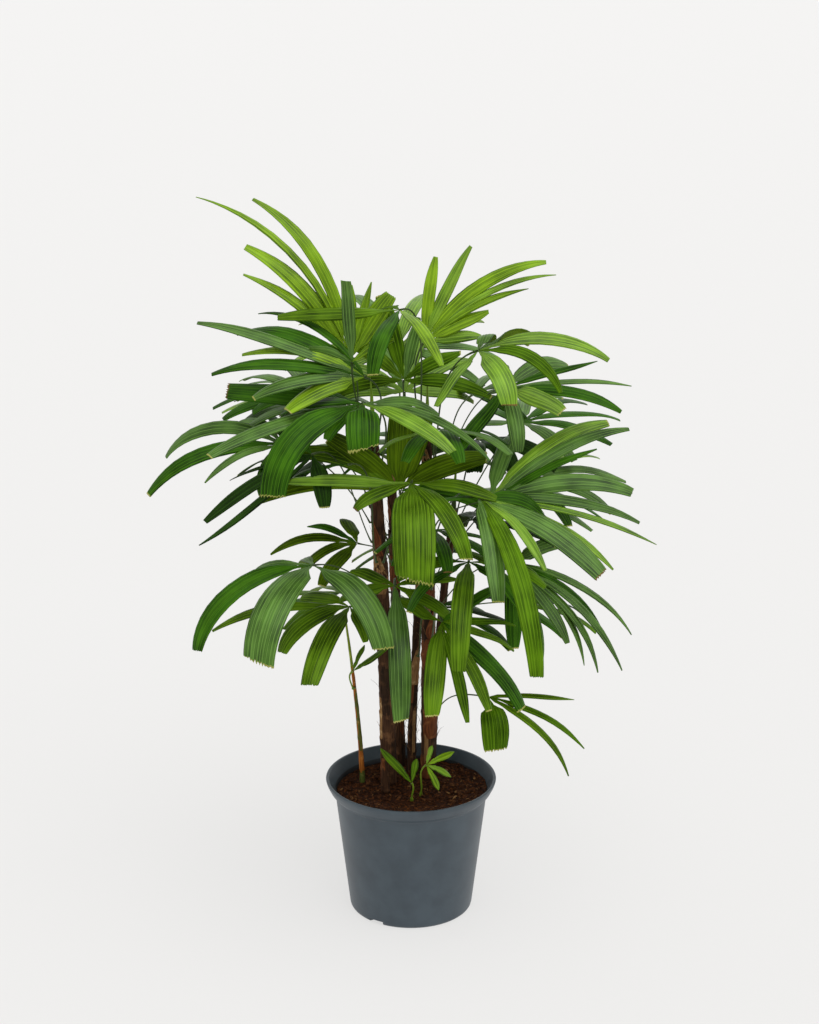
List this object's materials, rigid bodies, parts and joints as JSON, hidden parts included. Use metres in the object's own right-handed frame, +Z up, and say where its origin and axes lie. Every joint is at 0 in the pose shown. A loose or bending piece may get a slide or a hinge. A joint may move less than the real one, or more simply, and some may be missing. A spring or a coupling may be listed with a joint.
{
  "type": "potted lady palm",
  "caption": "Potted lady palm: a clump of fibrous canes with hand-shaped fronds on thin stalks, in a round tapered nursery pot with a rolled rim.",
  "frame": {"origin": "centre of the pot's flat underside", "axes": "+Z up along the pot's axis, -Y towards the front as pictured, +X to the viewer's right"},
  "size_m": [0.7275, 0.7204, 1.0875],
  "materials": {
    "pot": "satin slate-grey moulded plastic",
    "mix": "loose damp coir and bark chips",
    "cane": "rough brown leaf-sheath fibre",
    "shoot": "smooth green stem with tan sheaths",
    "leaf": "semi-gloss pleated green leaf"
  },
  "bodies": {
    "root": {"pot": "pot", "potting_mix": "mix", "cane_front_left": "cane", "cane_right": "cane", "cane_back_left": "cane", "cane_middle": "cane", "cane_back_right": "cane", "cane_stub": "cane", "shoot_left": "shoot", "sucker_left": "leaf", "sucker_right": "leaf", "frond_top_left": "leaf", "frond_top_right": "leaf", "frond_bar": "leaf", "frond_centre_top": "leaf", "frond_front_upper": "leaf", "frond_front_top": "leaf", "frond_front_right": "leaf", "frond_front_centre": "leaf", "frond_mid_hanging": "leaf", "frond_front_low": "leaf", "frond_centre_low": "leaf", "frond_upper_left": "leaf", "frond_left_shelf": "leaf", "frond_left_mid": "leaf", "frond_left_lower": "leaf", "frond_low_left": "leaf", "frond_low_left_back": "leaf", "frond_inner_left": "leaf", "frond_olive": "leaf", "frond_upper_right": "leaf", "frond_right_shelf": "leaf", "frond_right_mid": "leaf", "frond_low_right": "leaf", "frond_lowest_right": "leaf", "frond_dark_right": "leaf", "frond_shoot": "leaf", "frond_inner_top": "leaf", "frond_inner_top_left": "leaf", "frond_inner_top_right": "leaf", "frond_inner_front_top": "leaf", "frond_inner_left_front": "leaf", "frond_inner_right": "leaf", "frond_inner_front": "leaf", "frond_right_back": "leaf", "frond_left_back": "leaf", "frond_inner_low": "leaf", "frond_back_upper": "leaf", "frond_back_left": "leaf", "frond_back_right": "leaf", "frond_back_centre": "leaf", "frond_back_left_mid": "leaf", "frond_back_right_mid": "leaf", "frond_back_low": "leaf", "frond_back_low_left": "leaf", "frond_back_low_right": "leaf"}
  },
  "joints": []
}
